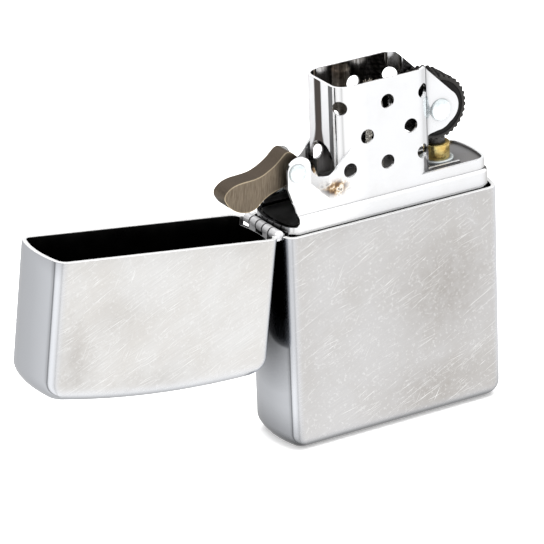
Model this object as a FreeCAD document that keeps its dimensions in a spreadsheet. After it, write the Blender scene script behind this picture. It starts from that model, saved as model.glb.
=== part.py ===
import FreeCAD, Part
import Sketcher
import math
import os

from FreeCAD import Placement, Rotation, Vector

# A flip-top pocket lighter, lid open. Millimetres, +Z up, origin at the centre of the
# case's flat bottom, +X towards the spark wheel, -X towards the hinge, +Y towards the
# back. The lid is built closed and then turned open about the hinge pin.

# ---------------------------------------------------------------- driving sizes
# Names in _x, and _top, _bottom, _up, _height or _floor of a feature, are places.
size = dict(
    # case and lid
    case_width=38.1, case_depth=12.7, case_height=34.4,
    total_height=57.15, lid_gap=0.1, wall=0.7,
    side_radius=17.6, corner_radius=2.0, edge_radius=1.85,
    lid_edge_radius=1.9, arch_drop=1.43, open_angle=172.17,
    # hinge
    hinge_x=-18.98, hinge_up=0.25, barrel_radius=0.8,
    pin_radius=0.4, hinge_length=9.0, knuckle_gap=0.06,
    running_gap=0.05, leaf_thick=0.33, leaf_reach=5.0,
    leaf_clear=0.02, leaf_end_gap=0.2, pin_end_gap=0.03,
    notch_half=4.6, notch_drop=1.07, notch_reach=1.6,
    # insert shell and its top plate
    insert_bottom=1.3, insert_inset=1.0, insert_depth_inset=0.9,
    insert_corner=2.0, insert_top=38.75, shoulder=37.15, shoulder_round=0.4,
    sheet=0.45, upper_half_depth=5.0, upper_half_width=17.8,
    plate_top=38.35, plate_thick=0.4, well_floor=35.2, plate_clear=0.01,
    # chimney
    chimney_top=55.15, chimney_left=-8.6, chimney_corner=2.3,
    vent_radius=1.12, window_radius=3.45, window_height=42.2,
    # wheel and its rivet
    ear_plane=3.6, wheel_x=9.9, wheel_up=47.62, wheel_radius=5.08,
    wheel_half_width=2.85, wheel_teeth=40, tooth_depth=0.32, rim_inset=0.3,
    axle_radius=1.0, wheel_head_radius=1.7, head_height=0.6,
    # cam, its rivet and its spring
    cam_x=-14.67, cam_up=43.07, cam_half_width=1.65,
    cam_ear_plane=3.2, cam_axle_radius=0.9, cam_head_radius=1.4,
    cam_spring_thick=0.22, cam_spring_half_width=1.3, cam_spring_gap=0.02,
    spring_rivet_x=-10.9, spring_rivet_hole=0.35,
    # flint stack
    tube_x=11.3, tube_radius=1.75, tube_bore=1.4,
    collar_radius=2.0, collar_top=41.25, tube_bottom=3.2,
    flange_radius=2.55, flint_radius=1.3, flint_bottom=36.2, flint_length=7.0,
    flint_gap=0.06, spring_radius=1.05, spring_wire=0.2,
    spring_pitch=1.15, tip_height=1.0,
    screw_head_radius=2.5, screw_bottom=1.65, screw_top=8.0,
    # wick, felt and cotton
    wick_x=0.5, wick_radius=1.3, wick_top=52.6, wick_bottom=14.0,
    wick_hole_gap=0.8, wire_radius=0.16, wire_gap=0.02, wire_end_gap=0.1,
    felt_bottom=1.5, felt_thick=2.4, pack_gap=0.12,
)

doc = FreeCAD.newDocument("pocket_lighter")
dims = doc.addObject("Spreadsheet::Sheet", "Dims")
for row, (alias, value) in enumerate(size.items(), 1):
    dims.set("A%d" % row, alias)
    dims.set("B%d" % row, repr(value))
    dims.setAlias("B%d" % row, alias)
doc.recompute()

HINGE_Z = size["case_height"] + size["hinge_up"]
LID_OPEN = Placement(Vector(0, 0, 0), Rotation(Vector(0, 1, 0), -size["open_angle"]),
                     Vector(size["hinge_x"], 0, HINGE_Z))
# turns a piece's own Z axis to -Y
ACROSS = Rotation(Vector(1, 0, 0), 90)

# planes well clear of every piece, where cuts through them start
LEFT_CLEAR = 25
SIDE_CLEAR = 20.0

# plan outlines: half width, half depth, radius of the bulged sides, corner radius
CASE_PLAN = ("Dims.case_width / 2", "Dims.case_depth / 2",
             "Dims.side_radius", "Dims.corner_radius")
INSERT_PLAN = ("Dims.case_width / 2 - Dims.insert_inset",
               "Dims.case_depth / 2 - Dims.insert_depth_inset",
               "Dims.side_radius - Dims.insert_inset", "Dims.insert_corner")
NECK_PLAN = ("Dims.upper_half_width", "Dims.upper_half_depth") + INSERT_PLAN[2:]


# ------------------------------------------------------------ objects and sketches
def apply(obj, props):
    """Set properties; a string is an expression to bind."""
    for key, value in props.items():
        if isinstance(value, str):
            obj.setExpression(key, value)
        else:
            setattr(obj, key, value)


def part(kind, name, **props):
    obj = doc.addObject("Part::" + kind, name)
    obj.Label = name
    apply(obj, props)
    return obj


def cylinder(name, radius, height, base, turn=Rotation()):
    return part("Cylinder", name, Radius=radius, Height=height, Placement=Placement(base, turn))


def new_body(name):
    body = doc.addObject("PartDesign::Body", name)
    body.Label = name
    return body


def new_sketch(body, name, axes="XY", start=0.0):
    """A sketch on an origin plane, moved by start along its normal (+Z, +X or, for XZ, -Y)."""
    sk = body.newObject("Sketcher::SketchObject", name + "_shape")
    base = next(f for f in body.Origin.OriginFeatures if f.Role == axes + "_Plane")
    sk.AttachmentSupport = [(base, "")]
    sk.MapMode = "FlatFace"
    if isinstance(start, str):
        sk.setExpression("AttachmentOffset.Base.z", start)
    else:
        sk.AttachmentOffset = Placement(Vector(0, 0, start), Rotation())
    return sk


def sheet_value(expr):
    """The number that an expression over the sheet's aliases stands for."""
    if not isinstance(expr, str):
        return expr
    return float(dims.evalExpression(expr.replace("Dims.", "")))


def constrain(sk, name, constraint, expr):
    """Add a named constraint and bind it to an expression."""
    sk.renameConstraint(sk.addConstraint(constraint), name)
    sk.setExpression("Constraints." + name, str(expr))


def circle(sk, x, y, radius, tag=""):
    """A circle with its centre held at (x, y); each value is a number or an expression."""
    centre_x, centre_y, r = sheet_value(x), sheet_value(y), sheet_value(radius)
    i = sk.addGeometry(Part.Circle(Vector(centre_x, centre_y, 0), Vector(0, 0, 1), r), False)
    constrain(sk, "radius" + tag, Sketcher.Constraint("Radius", i, r), radius)
    for kind, name, at, expr, zero_axis in (("DistanceX", "across", centre_x, x, -2),
                                            ("DistanceY", "up", centre_y, y, -1)):
        if at == 0:
            sk.addConstraint(Sketcher.Constraint("PointOnObject", i, 3, zero_axis))
        elif at > 0:
            constrain(sk, name + tag, Sketcher.Constraint(kind, -1, 1, i, 3, at), expr)
        else:
            constrain(sk, name + tag, Sketcher.Constraint(kind, i, 3, -1, 1, -at),
                      "-(%s)" % expr)


def outline(body, name, plan, inset="0", start=0.0):
    """A plan sketch: flat front and back, bulged narrow sides, four rounded corners."""
    exprs = ["(%s) - (%s)" % (expr, inset) for expr in plan]
    half_w, half_d, bulge, corner = [sheet_value(expr) for expr in exprs]
    side_x = half_w - bulge
    corner_y = half_d - corner
    corner_x = side_x + math.sqrt((bulge - corner) ** 2 - corner_y ** 2)
    turn = math.atan2(corner_y, corner_x - side_x)
    pi = math.pi

    def line(x0, y0, x1, y1):
        return Part.LineSegment(Vector(x0, y0, 0), Vector(x1, y1, 0))

    def arc(x, y, r, a0, a1):
        return Part.ArcOfCircle(Part.Circle(Vector(x, y, 0), Vector(0, 0, 1), r), a0, a1)

    sk = new_sketch(body, name, start=start)
    n = [sk.addGeometry(g, False) for g in (
        line(-corner_x, -half_d, corner_x, -half_d),
        arc(corner_x, -corner_y, corner, 1.5 * pi, 2 * pi - turn),
        arc(side_x, 0, bulge, 2 * pi - turn, 2 * pi + turn),
        arc(corner_x, corner_y, corner, turn, 0.5 * pi),
        line(corner_x, half_d, -corner_x, half_d),
        arc(-corner_x, corner_y, corner, 0.5 * pi, pi - turn),
        arc(-side_x, 0, bulge, pi - turn, pi + turn),
        arc(-corner_x, -corner_y, corner, pi + turn, 1.5 * pi),
    )]
    rule = Sketcher.Constraint
    for i in range(8):
        sk.addConstraint(rule("Tangent", n[i], 2, n[(i + 1) % 8], 1))
    for i in (0, 4):
        sk.addConstraint(rule("Horizontal", n[i]))
    for i in (3, 5, 7):
        sk.addConstraint(rule("Equal", n[1], n[i]))
    sk.addConstraint(rule("Equal", n[2], n[6]))
    for i in (2, 6):
        sk.addConstraint(rule("PointOnObject", n[i], 3, -1))
    side_expr = "(%s) - (%s)" % (exprs[0], exprs[2])
    constrain(sk, "front", rule("DistanceY", n[0], 1, -1, 1, half_d), exprs[1])
    constrain(sk, "back", rule("DistanceY", -1, 1, n[4], 1, half_d), exprs[1])
    constrain(sk, "corner", rule("Radius", n[1], corner), exprs[3])
    constrain(sk, "bulge", rule("Radius", n[2], bulge), exprs[2])
    constrain(sk, "right", rule("DistanceX", -1, 1, n[2], 3, side_x), side_expr)
    constrain(sk, "left", rule("DistanceX", n[6], 3, -1, 1, side_x), side_expr)
    return sk


def arc_through(first, middle, last):
    """The arc through three points, and whether it runs anticlockwise."""
    whole = Part.Circle(first, middle, last)
    centre = whole.Center
    a0, a1 = [math.atan2(p.y - centre.y, p.x - centre.x) for p in (first, last)]
    anticlockwise = (middle - first).cross(last - first).z > 0
    if not anticlockwise:
        a0, a1 = a1, a0
    if a1 < a0:
        a1 += 2 * math.pi
    flat = Part.Circle(centre, Vector(0, 0, 1), whole.Radius)
    return Part.ArcOfCircle(flat, a0, a1), anticlockwise


def loop(sk, points):
    """A closed profile from its first (x, y): then (x, y) draws a line to that point
    and (mx, my, x, y) an arc through (mx, my) to (x, y)."""
    here = Vector(*points[0])
    made = []
    for step in points[1:] + points[:1]:
        there = Vector(*step[-2:])
        if len(step) == 2:
            piece, forward = Part.LineSegment(here, there), True
        else:
            piece, forward = arc_through(here, Vector(*step[:2]), there)
        made.append((sk.addGeometry(piece, False), forward))
        here = there
    for (i, forward), (j, onward) in zip(made, made[1:] + made[:1]):
        sk.addConstraint(Sketcher.Constraint("Coincident", i, 2 if forward else 1,
                                             j, 1 if onward else 2))
    for i, _ in made:
        sk.addConstraint(Sketcher.Constraint("Block", i))


def rounded(points, radii):
    """Steps for loop() round a polygon with these corner radii; the first must be 0."""
    steps = []
    for i, radius in enumerate(radii):
        corner = Vector(*points[i])
        if radius == 0:
            steps.append(points[i])
            continue
        back = (Vector(*points[i - 1]) - corner).normalize()
        ahead = (Vector(*points[(i + 1) % len(points)]) - corner).normalize()
        half = back.getAngle(ahead) / 2
        start = corner + back * (radius / math.tan(half))
        end = corner + ahead * (radius / math.tan(half))
        middle = corner + (back + ahead).normalize() * (radius / math.sin(half) - radius)
        steps.append((start.x, start.y))
        steps.append((middle.x, middle.y, end.x, end.y))
    return steps


MIRROR_FIRST, MIRROR_SECOND = (-1, 1), (1, -1)


def both_sides(half, mirror):
    """An outline from one half and its mirror image in one of the two coordinates."""
    return half + [(a * mirror[0], b * mirror[1]) for a, b in reversed(half)]


# -------------------------------------------------------------------- features
def feature(body, kind, name, **props):
    made = body.newObject("PartDesign::" + kind, name)
    apply(made, props)
    body.Tip = made
    doc.recompute()
    return made


def pad(body, name, sketch, length):
    return feature(body, "Pad", name, Profile=sketch, Length=length)


def cut(body, name, sketch, length, along=True):
    """A pocket along the sketch's normal, or against it; it must take material away."""
    before = body.Shape.Volume
    made = feature(body, "Pocket", name, Profile=sketch, Length=length, Reversed=along)
    if not body.Shape.Volume < before - 1e-6:
        raise RuntimeError("%s cut nothing" % name)
    return made


def fillet(body, name, base, radius, picks):
    """Round the edges of base that picks accepts."""
    edges = ["Edge%d" % i for i, edge in enumerate(base.Shape.Edges, 1) if picks(edge)]
    return feature(body, "Fillet", name, Base=(base, edges), Radius=radius)


def flat_at(z, tol=1e-3):
    """Accepts edges that lie level at height z."""
    return lambda e: e.BoundBox.ZMax - e.BoundBox.ZMin < tol and abs(e.BoundBox.ZMin - z) < tol


def profile(body, name, axes, start, *outlines):
    sk = new_sketch(body, name, axes, start)
    for points in outlines:
        loop(sk, points)
    return sk


def cut_from_left(body, name, end_x, *outlines):
    """Cut (y, z) outlines from outside the -X side in to end_x."""
    sk = profile(body, name, "YZ", -LEFT_CLEAR, *outlines)
    return cut(body, name, sk, "%d + (%s)" % (LEFT_CLEAR, end_x))


def cut_across(body, name, points):
    """Cut an (x, z) outline right through from back to front."""
    return cut(body, name, profile(body, name, "XZ", -SIDE_CLEAR, points), 2 * SIDE_CLEAR)


def drill_across(body, name, x, z, radius):
    """Drill right through from back to front."""
    sk = new_sketch(body, name, "XZ", -SIDE_CLEAR)
    circle(sk, x, z, radius)
    return cut(body, name, sk, 2 * SIDE_CLEAR)


def at_x(x):
    return Placement(Vector(x, 0, 0), Rotation())


def turned(name, points, where=Placement()):
    """A piece turned about its own Z axis from a half profile (radius, height)."""
    body = new_body(name)
    sk = profile(body, name, "XZ", 0.0, points)
    feature(body, "Revolution", name + "_turned", Profile=sk,
            ReferenceAxis=(sk, ["V_Axis"]), Angle=360)
    body.Placement = where
    return body


# ------------------------------------------------------------------------ case
# the hinge leaves lie in shallow recesses inside the hinge side's bulged walls
LEAF_INNER = size["side_radius"] - size["wall"] + size["leaf_clear"]
LEAF_OUTER = LEAF_INNER + size["leaf_thick"]
LEAF_HALF = size["hinge_length"] / 2 - size["leaf_end_gap"]
NOTCH_END = "Dims.hinge_x + Dims.notch_reach"


def side_strip(inner, outer, half_length):
    """Plan of a strip between two radii of the hinge side's bulge."""
    centre_x = size["case_width"] / 2 - size["side_radius"]

    def on_bulge(radius, y):
        return (-centre_x - math.sqrt(radius ** 2 - y ** 2), y)

    return [on_bulge(outer, -half_length),
            on_bulge(outer, 0) + on_bulge(outer, half_length),
            on_bulge(inner, half_length),
            on_bulge(inner, 0) + on_bulge(inner, -half_length)]


def notch(side):
    """(y, z) rectangle over the hinge barrel, into the lid's rim (1) or the case's (-1)."""
    half, edge, beyond = size["notch_half"], HINGE_Z + side * size["notch_drop"], HINGE_Z - side * 3
    return [(-half, edge), (half, edge), (half, beyond), (-half, beyond)]


def leaf_recess(body, name, side):
    """Sketch of the recess for a hinge leaf, at the foot of the notch."""
    return profile(body, name, "XY", HINGE_Z + side * size["notch_drop"],
                   side_strip(LEAF_INNER - 0.3, LEAF_OUTER, LEAF_HALF))


def build_case():
    body = new_body("case_bottom")
    block = pad(body, "case_block", outline(body, "case_outline", CASE_PLAN), "Dims.case_height")
    fillet(body, "case_foot_round", block, "Dims.edge_radius", flat_at(0))
    sk = outline(body, "case_hollow_outline", CASE_PLAN, "Dims.wall", "Dims.case_height")
    hollow = cut(body, "case_hollow", sk, "Dims.case_height - Dims.wall", along=False)
    fillet(body, "case_hollow_round", hollow, "Dims.edge_radius - Dims.wall",
           flat_at(size["wall"]))
    cut_from_left(body, "case_notch", NOTCH_END, notch(-1))
    cut(body, "case_recess", leaf_recess(body, "case_recess", -1), "Dims.leaf_reach",
        along=False)
    return body


# ----------------------------------------------------------------------- hinge
KNUCKLES = 5


def knuckle_span(i):
    """The two y ends of knuckle i, counted from the front."""
    pitch = size["hinge_length"] / KNUCKLES
    gap = size["knuckle_gap"] / 2
    start = -size["hinge_length"] / 2 + i * pitch
    return start + (gap if i else 0), start + pitch - (gap if i < KNUCKLES - 1 else 0)


def hinge_leaf(name, side, own, bore):
    """A leaf reaching up (1) or down (-1), with its own knuckles round the pin."""
    body = new_body(name)
    root = HINGE_Z + side * size["notch_drop"]
    far = root + side * size["leaf_reach"]
    sk = profile(body, name + "_strip", "XY", min(far, HINGE_Z),
                 side_strip(LEAF_INNER, LEAF_INNER + 0.5, LEAF_HALF))
    pad(body, name + "_strip", sk, "Dims.leaf_reach + Dims.notch_drop")
    # the part that lies in the recess is thinned to the leaf's own thickness
    sk = profile(body, name + "_thin", "XY", min(far, root),
                 side_strip(LEAF_OUTER, LEAF_INNER + 1.2, LEAF_HALF + 0.3))
    cut(body, name + "_thin", sk, "Dims.leaf_reach")
    # room for the other leaf's knuckles, run out past the strip at both ends
    gaps = []
    for i in range(KNUCKLES):
        if i in own:
            continue
        y0, y1 = knuckle_span(i)
        y0 = y0 - size["knuckle_gap"] if i else -6.0
        y1 = y1 + size["knuckle_gap"] if i < KNUCKLES - 1 else 6.0
        gaps.append([(y0, root), (y1, root), (y1, HINGE_Z - side), (y0, HINGE_Z - side)])
    cut_from_left(body, name + "_gaps", -5, *gaps)
    axis = ("Dims.hinge_x", "Dims.case_height + Dims.hinge_up")
    for i in own:
        y0, y1 = knuckle_span(i)
        barrel = "%s_barrel%d" % (name, i)
        sk = new_sketch(body, barrel, "XZ", -y1)
        circle(sk, *axis, "Dims.barrel_radius")
        pad(body, barrel, sk, y1 - y0)
    drill_across(body, name + "_bore", *axis, bore)
    return body


def build_lid_leaf():
    body = hinge_leaf("hinge_leaf_lid", 1, (1, 3), "Dims.pin_radius + Dims.running_gap")
    body.Placement = LID_OPEN
    return body


def build_hinge_pin():
    end_y = size["hinge_length"] / 2 - size["pin_end_gap"]
    return cylinder("hinge_pin", "Dims.pin_radius", "Dims.hinge_length - 2 * Dims.pin_end_gap",
                    Vector(size["hinge_x"], end_y, HINGE_Z), ACROSS)


# ------------------------------------------------------------------------- lid
def lid_form(tag, inset="0"):
    """The lid's arched block, or its hollow when inset is the wall."""
    body = new_body(tag + "_form")
    sk = outline(body, tag + "_outline", CASE_PLAN, inset, "Dims.case_height + Dims.lid_gap")
    # 1 mm too high, for the arch to be cut from
    pad(body, tag + "_block", sk,
        "Dims.total_height - Dims.case_height - Dims.lid_gap + 1 - " + inset)
    top = size["total_height"] - sheet_value(inset)
    end_x = size["case_width"] / 2 - sheet_value(inset) + 1
    end_z = top - size["arch_drop"] * 1.1
    arch = cut_across(body, tag + "_arch",
                      [(-end_x, end_z), (0, top, end_x, end_z),
                       (end_x, size["total_height"] + 5), (-end_x, size["total_height"] + 5)])
    lowest = top - size["arch_drop"] * 1.3
    fillet(body, tag + "_top_round", arch, "Dims.lid_edge_radius - " + inset,
           lambda edge: all(v.Point.z > lowest for v in edge.Vertexes))
    return body


def build_lid():
    block = lid_form("lid")
    hollow = lid_form("lid_hollow", "Dims.wall")
    rim_notch = new_body("lid_notch_form")
    pad(rim_notch, "lid_notch", profile(rim_notch, "lid_notch", "YZ", -LEFT_CLEAR, notch(1)),
        "%d + %s" % (LEFT_CLEAR, NOTCH_END))
    recess = new_body("lid_recess_form")
    pad(recess, "lid_recess", leaf_recess(recess, "lid_recess", 1), "Dims.leaf_reach")
    tools = part("MultiFuse", "lid_tools", Shapes=[hollow, rim_notch, recess])
    lid = part("Cut", "lid_shell", Base=block, Tool=tools)
    # the closed shape is computed first, then turned open
    doc.recompute()
    lid.Placement = LID_OPEN
    return lid


# ---------------------------------------------------------------- insert shell
SHEET = size["sheet"]
NECK_Y = size["upper_half_depth"]
WHEEL_EAR_Y = size["ear_plane"]
CAM_EAR_Y = size["cam_ear_plane"]

# chimney walls: they bend inwards between these x, and end at the wheel ears' edge
BEND_START, BEND_END, CHIMNEY_END = 5.7, 7.9, 13.2
BEND_ANGLE = math.atan2(NECK_Y - WHEEL_EAR_Y, BEND_END - BEND_START)
BEND_RADIUS = 1.2

# cam ears: the walls lean in up to LEAN_TOP and spread out again between these x
EAR_LEFT, SPREAD_START, SPREAD_END = -17.4, -12.4, -10.4
LEAN_TOP = 40.9

# side outlines (x, z) that are cut away; four numbers are an arc's middle and end
CAM_EAR_TRIM = [
    (-16.32, 50), (-16.32, 43.22), (-15.705, 44.708, -14.22, 45.32),
    (-12.735, 44.708, -12.42, 43.52), (-12.0, 42.45, -11.3, 41.9),
    (-10.2, 42.1, -8.9, 43.2), (-7.9, 44.2, -6.3, 46.0), (-6.2, 46.0), (-6.2, 50)]
CAM_GAP = [
    (-20, 35.6), (-16.3, 35.6), (-15.85, 36.1), (-15.85, 37.1), (-16.45, 39.6),
    (-16.32, 41.7), (-16.32, 48), (-20, 48)]
WHEEL_EAR_TRIM = [
    (6.9, 58), (6.9, 55.15), (11.9, 50.15), (13.05, 47.9, 11.5, 45.35),
    (10.7, 44.75, 9.4, 44.45), (7.4, 44.1), (7.4, 38.76), (20, 38.76), (20, 58)]
# vent centres (x, z) on the chimney's flat front and back
FLAT_VENTS = [(-0.1, 51.6), (-3.68, 46.87), (3.83, 46.88), (-6.75, 42.24), (-0.29, 42.16)]


def add_insert_box(shell):
    """The box with its shoulder and the narrower neck above, both hollow."""
    block = pad(shell, "insert_block",
                outline(shell, "insert_outline", INSERT_PLAN, start="Dims.insert_bottom"),
                "Dims.shoulder - Dims.insert_bottom")
    fillet(shell, "insert_shoulder_round", block, "Dims.shoulder_round",
           flat_at(size["shoulder"]))
    sk = outline(shell, "insert_upper_outline", NECK_PLAN, start="Dims.shoulder - 1")
    pad(shell, "insert_upper_block", sk, "Dims.insert_top - Dims.shoulder + 1")
    sk = outline(shell, "insert_hollow_outline", INSERT_PLAN, "Dims.sheet",
                 "Dims.insert_bottom")
    cut(shell, "insert_hollow", sk, "Dims.shoulder - Dims.insert_bottom - Dims.sheet")
    sk = outline(shell, "insert_neck_outline", NECK_PLAN, "Dims.sheet", "Dims.insert_top")
    cut(shell, "insert_neck", sk, "Dims.insert_top - Dims.insert_bottom", along=False)


def bend_shift(slope):
    """How far a bend moves along the wall from its outer to its inner face."""
    return (SHEET / math.cos(math.atan(slope)) - SHEET) / slope


def add_cam_ears(shell):
    bottom = size["insert_top"]
    lean_shift = bend_shift((NECK_Y - CAM_EAR_Y) / (LEAN_TOP - bottom))
    hollow_start = SPREAD_START + bend_shift((NECK_Y - CAM_EAR_Y) / (SPREAD_END - SPREAD_START))
    hollow_end = hollow_start + SPREAD_END - SPREAD_START
    neck_in, ear_in = NECK_Y - SHEET, CAM_EAR_Y - SHEET

    lean = [(NECK_Y, bottom - 0.5), (NECK_Y, bottom), (CAM_EAR_Y, LEAN_TOP), (CAM_EAR_Y, 46.0)]
    sk = profile(shell, "ear_lean", "YZ", EAR_LEFT, both_sides(lean, MIRROR_FIRST))
    pad(shell, "ear_lean", sk, SPREAD_END - EAR_LEFT)

    spread = [(SPREAD_START, CAM_EAR_Y), (SPREAD_END, NECK_Y), (-6.3, NECK_Y)]
    sk = profile(shell, "ear_spread", "XY", bottom - 0.5, both_sides(spread, MIRROR_SECOND))
    pad(shell, "ear_spread", sk, 7.75)

    lean_in = [(neck_in, 37.0), (neck_in, bottom - lean_shift),
               (ear_in, LEAN_TOP - lean_shift), (ear_in, 50.0)]
    cut_from_left(shell, "ear_lean_hollow", -10.0, both_sides(lean_in, MIRROR_FIRST))

    spread_in = [(hollow_start - 0.4, ear_in), (hollow_start, ear_in),
                 (hollow_end, neck_in), (-6.2, neck_in)]
    sk = profile(shell, "ear_spread_hollow", "XY", 37.6, both_sides(spread_in, MIRROR_SECOND))
    cut(shell, "ear_spread_hollow", sk, 12.0)
    cut_across(shell, "ear_trim", CAM_EAR_TRIM)


def add_chimney(shell):
    """A folded sheet, open towards the wheel, its ends drawn in as wheel ears."""
    left, corner = size["chimney_left"], size["chimney_corner"]
    miter = SHEET * math.tan(BEND_ANGLE / 2)
    outer = [(CHIMNEY_END, -WHEEL_EAR_Y), (BEND_END, -WHEEL_EAR_Y), (BEND_START, -NECK_Y),
             (left, -NECK_Y)]
    inner = [(CHIMNEY_END, WHEEL_EAR_Y - SHEET), (BEND_END - miter, WHEEL_EAR_Y - SHEET),
             (BEND_START - miter, NECK_Y - SHEET), (left + SHEET, NECK_Y - SHEET)]
    outer_radii = [0, BEND_RADIUS, BEND_RADIUS + SHEET, corner]
    inner_radii = [0, BEND_RADIUS + SHEET, BEND_RADIUS, corner - SHEET]
    plan = rounded(both_sides(outer, MIRROR_SECOND) + both_sides(inner, MIRROR_SECOND),
                   outer_radii + outer_radii[::-1] + inner_radii + inner_radii[::-1])
    sk = profile(shell, "chimney_plan", "XY", "Dims.plate_top + 0.01", plan)
    pad(shell, "chimney", sk, "Dims.chimney_top - Dims.plate_top - 0.01")


def cut_openings(shell):
    # the cam end of the neck is cut down to let the cam swing out over the rim
    cut_across(shell, "cam_gap", CAM_GAP)
    # the neck's narrow end wall is open between the ears
    half = NECK_Y - SHEET
    cut_from_left(shell, "cam_way", -16.35,
                  [(-half, 35.6), (half, 35.6), (half, 48), (-half, 48)])
    # wheel ears: round lobes with a straight upper edge
    cut_across(shell, "wheel_ear_cut", WHEEL_EAR_TRIM)
    # round air window low in the chimney's -X end wall
    sk = new_sketch(shell, "window", "YZ", -9.8)
    circle(sk, 0, "Dims.window_height", "Dims.window_radius")
    cut(shell, "window", sk, 2.6)
    sk = new_sketch(shell, "vents", "XZ", -SIDE_CLEAR)
    for i, (x, z) in enumerate(FLAT_VENTS):
        circle(sk, x, z, "Dims.vent_radius", str(i))
    cut(shell, "vents", sk, 2 * SIDE_CLEAR)
    drill_across(shell, "wheel_axle_holes", "Dims.wheel_x", "Dims.wheel_up", "Dims.axle_radius")
    drill_across(shell, "cam_axle_holes", "Dims.cam_x", "Dims.cam_up", "Dims.cam_axle_radius")


def vent_drills():
    """Drills square to the sheet for the vents at the chimney's corners and bends."""
    corner_in = size["chimney_corner"] * (1 - math.sqrt(0.5))
    bend_normal = (math.sin(BEND_ANGLE), -math.cos(BEND_ANGLE))
    # x, y, z on the front wall, and the outward normal there in x and y
    places = ((size["chimney_left"] + corner_in, -NECK_Y + corner_in, 51.9, -1, -1),
              (6.3, -4.62, 51.7) + bend_normal,
              (6.05, -4.78, 42.3) + bend_normal)
    drills = []
    for i, (x, y, z, normal_x, normal_y) in enumerate(places):
        for side, tag in ((1, "front"), (-1, "back")):
            normal = Vector(normal_x, normal_y * side, 0).normalize()
            drills.append(cylinder("vent_drill_%d_%s" % (i, tag), "Dims.vent_radius", 2.2,
                                   Vector(x, y * side, z) + normal * 0.8,
                                   Rotation(Vector(0, 0, 1), normal * -1)))
    return part("MultiFuse", "vent_drills", Shapes=drills)


def build_insert_shell():
    shell = new_body("insert_shell_form")
    add_insert_box(shell)
    add_cam_ears(shell)
    add_chimney(shell)
    cut_openings(shell)
    return part("Cut", "insert_shell", Base=shell, Tool=vent_drills())


# ------------------------------------------------------------------- top plate
def build_top_plate():
    """A plate across the neck, stepped down to a well at the cam end."""
    top, floor, thick = size["plate_top"], size["well_floor"], size["plate_thick"]
    step_x = -8.9
    bend = new_body("plate_bend")
    sk = profile(bend, "plate_bend", "XZ", -8.0,
                 [(-18, floor), (step_x, floor), (step_x, top - thick), (18, top - thick),
                  (18, top), (step_x - thick, top), (step_x - thick, floor + thick),
                  (-18, floor + thick)])
    pad(bend, "plate_bend_pad", sk, 16.0)
    sk = new_sketch(bend, "plate_holes", start=30.0)
    circle(sk, "Dims.wick_x", 0, "Dims.wick_radius + Dims.wick_hole_gap", "_wick")
    circle(sk, "Dims.tube_x", 0, "Dims.tube_radius", "_tube")
    circle(sk, "Dims.spring_rivet_x", 0, "Dims.spring_rivet_hole", "_rivet")
    cut(bend, "plate_holes", sk, 20.0)
    edge = new_body("plate_edge")
    sk = outline(edge, "plate_edge_outline", NECK_PLAN, "Dims.sheet + Dims.plate_clear", 30.0)
    pad(edge, "plate_edge_pad", sk, 10.0)
    return part("Common", "insert_top_plate", Base=bend, Tool=edge)


# ----------------------------------------------------------------- flint stack
TUBE_PLACE = at_x(size["tube_x"])
TIP_TOP = size["flint_bottom"] - 0.03


def build_flint_tube():
    """A tube with a collar above the top plate."""
    bore, outer, collar = size["tube_bore"], size["tube_radius"], size["collar_radius"]
    bottom, collar_bottom, top = size["tube_bottom"], size["plate_top"] + 0.46, size["collar_top"]
    return turned("flint_tube", [
        (bore, bottom), (outer, bottom), (outer, collar_bottom), (collar, collar_bottom),
        (collar, top - 0.25), (collar - 0.08, top - 0.08, collar - 0.25, top), (bore, top)],
        TUBE_PLACE)


def build_washer():
    inner, outer, z = size["tube_radius"] + 0.01, size["flange_radius"], size["plate_top"]
    return turned("flint_tube_washer", [
        (inner, z + 0.01), (outer, z + 0.01), (outer, z + 0.25),
        (outer - 0.06, z + 0.39, outer - 0.2, z + 0.45), (inner, z + 0.45)], TUBE_PLACE)


def build_flint():
    """A rod, its top worn to the wheel's curve."""
    rod = cylinder("flint_rod", "Dims.flint_radius", "Dims.flint_length",
                   Vector(size["tube_x"], 0, size["flint_bottom"]))
    wear = cylinder("flint_wear", "Dims.wheel_radius + Dims.flint_gap", 12.0,
                    Vector(size["wheel_x"], 6, size["wheel_up"]), ACROSS)
    return part("Cut", "flint", Base=rod, Tool=wear)


def build_spring_tip():
    radius, bottom = size["flint_radius"], TIP_TOP - size["tip_height"]
    return turned("flint_spring_tip", [
        (0, TIP_TOP), (radius, TIP_TOP), (radius, TIP_TOP - 0.7), (0.75, bottom), (0, bottom)],
        TUBE_PLACE)


def build_flint_screw():
    head, bottom, top = size["screw_head_radius"], size["screw_bottom"], size["screw_top"]
    body = turned("flint_screw", [
        (0, bottom), (2.3, bottom), (head, 1.85), (head, 3.1), (1.3, 3.1), (1.3, 7.8),
        (1.1, top), (0, top)])
    slot = [(-3, -0.3), (3, -0.3), (3, 0.3), (-3, 0.3)]
    cut(body, "screw_slot", profile(body, "screw_slot", "XY", bottom, slot), 0.6)
    body.Placement = TUBE_PLACE
    return body


def build_flint_spring():
    """A coil between the screw's top and the tip's underside."""
    wire = size["spring_wire"]
    bottom = size["screw_top"] + 0.05 + wire
    top = TIP_TOP - size["tip_height"] - wire - 0.02
    helix = part("Helix", "flint_spring_line", Pitch="Dims.spring_pitch",
                 Radius="Dims.spring_radius", Height=top - bottom,
                 Placement=Placement(Vector(size["tube_x"], 0, bottom), Rotation()))
    section_at = Vector(size["tube_x"] + size["spring_radius"], 0, bottom)
    section = part("Circle", "flint_spring_wire", Radius="Dims.spring_wire",
                   Placement=Placement(section_at, ACROSS))
    return part("Sweep", "flint_spring", Sections=[section], Spine=helix, Solid=True,
                Frenet=True)


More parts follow.
